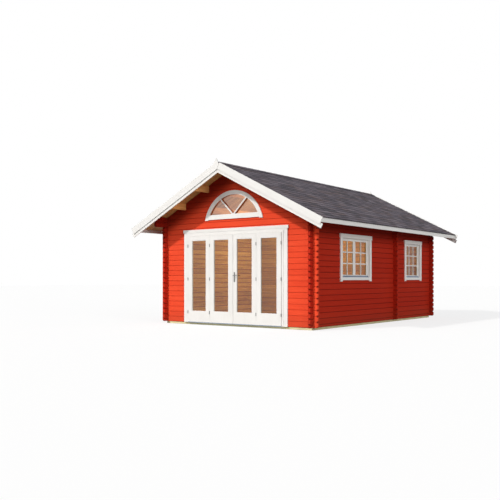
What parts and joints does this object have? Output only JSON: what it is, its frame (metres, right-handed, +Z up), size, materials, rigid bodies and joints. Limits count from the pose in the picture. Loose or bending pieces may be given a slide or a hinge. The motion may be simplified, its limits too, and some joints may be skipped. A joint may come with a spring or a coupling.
{
  "type": "log cabin",
  "caption": "Log cabin with crossed log corners, a pitched shingle roof, a folding glass door and an arched window in its gable, and sash windows in one side wall.",
  "frame": {"origin": "on the ground under the middle of the cabin", "axes": "+Z up; +Y along the ridge from the front gable to the rear; +X to the right seen from the front"},
  "size_m": [5.3, 7.262, 3.6726],
  "materials": {
    "red_paint": "red opaque wood paint on planed logs",
    "white_paint": "white satin wood paint",
    "pine": "natural planed pine",
    "treated_pine": "pressure-treated pine, green-yellow",
    "shingle": "mineral-surfaced bitumen shingle",
    "aluminium": "anodised aluminium",
    "steel": "zinc-plated steel",
    "glass": "clear double glazing"
  },
  "bodies": {
    "root": {"base_frame": "treated_pine", "floor_deck": "pine", "front_wall_left": "red_paint", "front_wall_right": "red_paint", "front_gable": "red_paint", "left_wall": "red_paint", "right_wall": "red_paint", "rear_wall": "red_paint", "rear_gable": "red_paint", "inner_wall": "red_paint", "inner_gable": "red_paint", "purlins": "pine", "roof_boards_left": "pine", "roof_boards_right": "pine", "shingles_left": "shingle", "shingles_right": "shingle", "ridge_cap": "shingle", "front_bargeboards": "white_paint", "rear_bargeboards": "white_paint", "front_lower_bargeboards": "white_paint", "rear_lower_bargeboards": "white_paint", "eaves_boards": "white_paint", "door_frame": "white_paint", "door_sill": "aluminium", "door_leaf_1": "white_paint", "door_leaf_2": "white_paint", "door_leaf_3": "white_paint", "door_leaf_4": "white_paint", "door_glass": "glass", "door_meeting_strip": "white_paint", "door_hinges": "steel", "door_handles": "steel", "door_casing": "white_paint", "arch_window_frame": "white_paint", "arch_window_glass": "glass", "arch_window_casing": "white_paint", "twin_window_frame": "white_paint", "twin_window_sashes": "white_paint", "twin_window_glass": "glass", "twin_window_casing": "white_paint", "single_window_frame": "white_paint", "single_window_sash": "white_paint", "single_window_glass": "glass", "single_window_casing": "white_paint", "window_weather_bars": "aluminium"}
  },
  "joints": []
}
